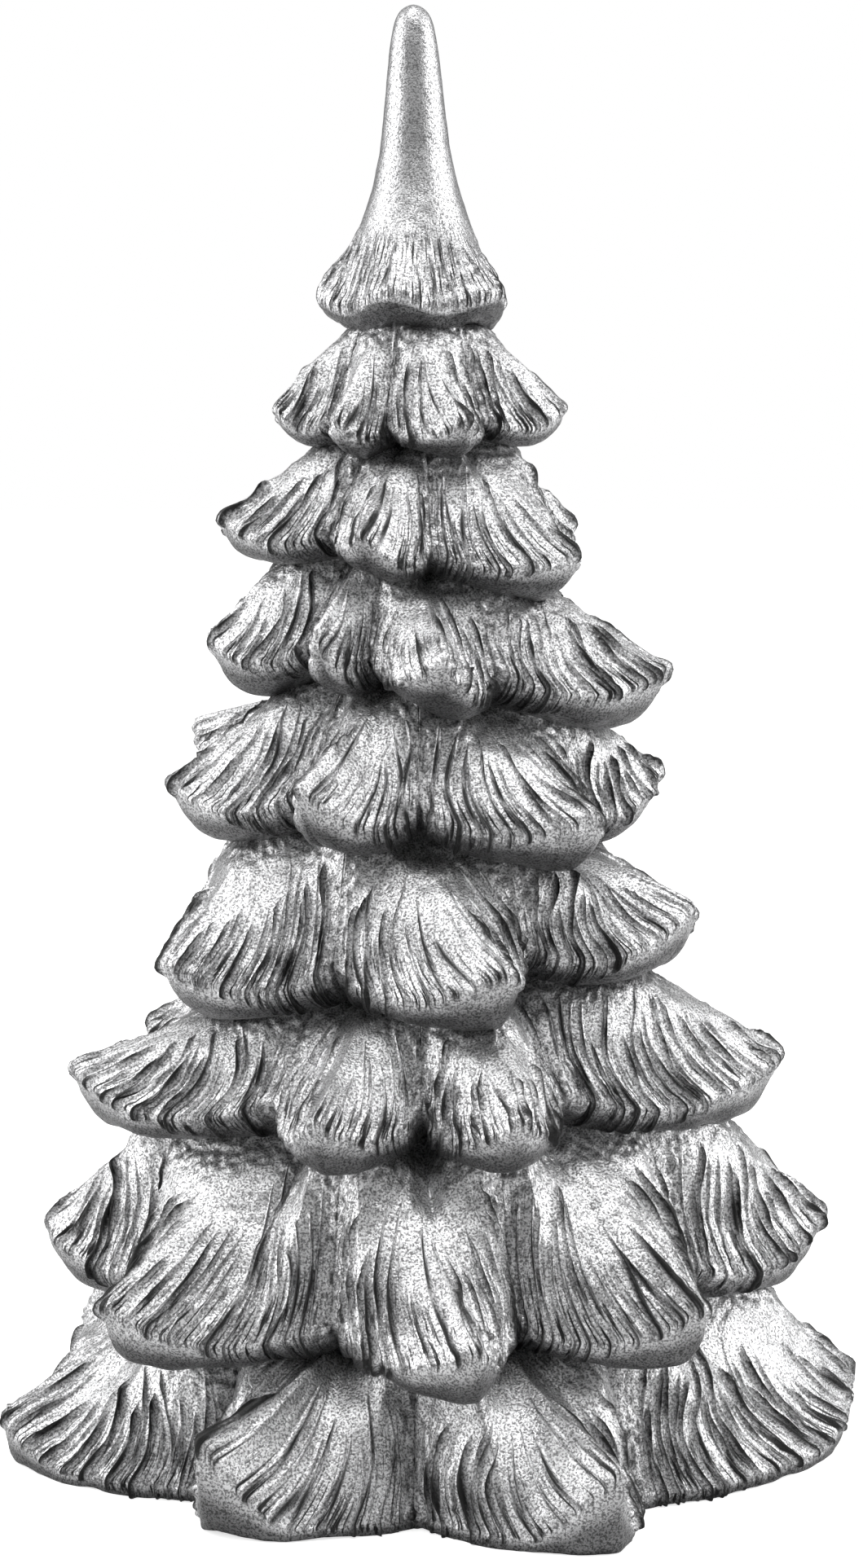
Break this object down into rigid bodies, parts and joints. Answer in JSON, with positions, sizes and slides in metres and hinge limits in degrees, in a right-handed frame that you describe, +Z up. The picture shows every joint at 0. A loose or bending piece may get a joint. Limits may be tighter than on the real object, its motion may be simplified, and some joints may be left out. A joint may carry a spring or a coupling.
{
  "type": "fir tree ornament",
  "caption": "Free-standing cast ornament in the shape of a stylised fir tree, with a smooth spire, tiers of drooping combed boughs and a flat base to rest on.",
  "frame": {"origin": "centre of the heart's round foot, on the surface that the tree stands on", "axes": "+Z up through the tree, -Y towards the front, +X to the right seen from the front"},
  "size_m": [0.1211, 0.1102, 0.2],
  "materials": {
    "spire_silver": "smooth silver metallic paint, satin, fine grain",
    "bough_silver": "silver metallic paint over combed, lightly pitted casting",
    "heart_silver": "silver metallic paint thinning out in the crevices, raw flat underside"
  },
  "bodies": {
    "root": {"heart": "heart_silver", "spire": "spire_silver", "tier_2_back": "bough_silver", "tier_2_back_left": "bough_silver", "tier_2_back_right": "bough_silver", "tier_2_front": "bough_silver", "tier_2_front_left": "bough_silver", "tier_2_left": "bough_silver", "tier_2_right": "bough_silver", "tier_3_back_left": "bough_silver", "tier_3_back_right": "bough_silver", "tier_3_front_left": "bough_silver", "tier_3_front_right": "bough_silver", "tier_3_left": "bough_silver", "tier_3_right": "bough_silver", "tier_4_back": "bough_silver", "tier_4_back_left": "bough_silver", "tier_4_back_right": "bough_silver", "tier_4_front": "bough_silver", "tier_4_front_left": "bough_silver", "tier_4_left": "bough_silver", "tier_4_right": "bough_silver", "tier_5_back": "bough_silver", "tier_5_back_left": "bough_silver", "tier_5_back_right": "bough_silver", "tier_5_front_left": "bough_silver", "tier_5_front_right": "bough_silver", "tier_5_left": "bough_silver", "tier_5_right": "bough_silver", "tier_6_back": "bough_silver", "tier_6_back_left": "bough_silver", "tier_6_back_right": "bough_silver", "tier_6_front": "bough_silver", "tier_6_front_right": "bough_silver", "tier_6_left": "bough_silver", "tier_7_back": "bough_silver", "tier_7_back_left": "bough_silver", "tier_7_back_right": "bough_silver", "tier_7_front_left": "bough_silver", "tier_7_front_right": "bough_silver", "tier_7_left": "bough_silver", "tier_7_right": "bough_silver", "tier_8_back": "bough_silver", "tier_8_back_left": "bough_silver", "tier_8_back_right": "bough_silver", "tier_8_front": "bough_silver", "tier_8_front_left": "bough_silver", "tier_8_front_right": "bough_silver", "tier_8_left": "bough_silver", "tier_8_right": "bough_silver", "tier_9_back": "bough_silver", "tier_9_back_left": "bough_silver", "tier_9_back_right": "bough_silver", "tier_9_front_left": "bough_silver", "tier_9_front_right": "bough_silver", "tier_9_left": "bough_silver", "tier_9_right": "bough_silver"}
  },
  "joints": []
}
